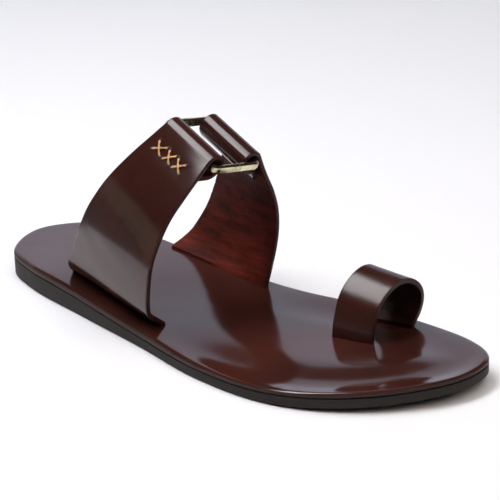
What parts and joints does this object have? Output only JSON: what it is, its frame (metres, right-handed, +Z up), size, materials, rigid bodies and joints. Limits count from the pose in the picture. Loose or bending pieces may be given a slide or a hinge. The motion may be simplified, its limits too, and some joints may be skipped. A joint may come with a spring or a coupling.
{
  "type": "toe ring sandal",
  "caption": "Slip-on leather sandal with a thin sole, two wide half straps joined over the instep by a rectangular metal ring, and a leather loop round the big toe.",
  "frame": {"origin": "on the floor under the middle of the sole's box", "axes": "+X toward the toe, +Y toward the inner side of the foot, +Z up"},
  "size_m": [0.2862, 0.1032, 0.101],
  "materials": {
    "outsole_rubber": "matt black",
    "footbed_leather": "glossy waxed smooth leather",
    "strap_leather": "glossy waxed smooth leather",
    "ring_brass": "polished antique brass"
  },
  "bodies": {
    "root": {"outsole": "outsole_rubber", "footbed": "footbed_leather", "lateral_strap": "strap_leather", "medial_strap": "strap_leather", "toe_loop": "strap_leather", "ring": "ring_brass"}
  },
  "joints": []
}
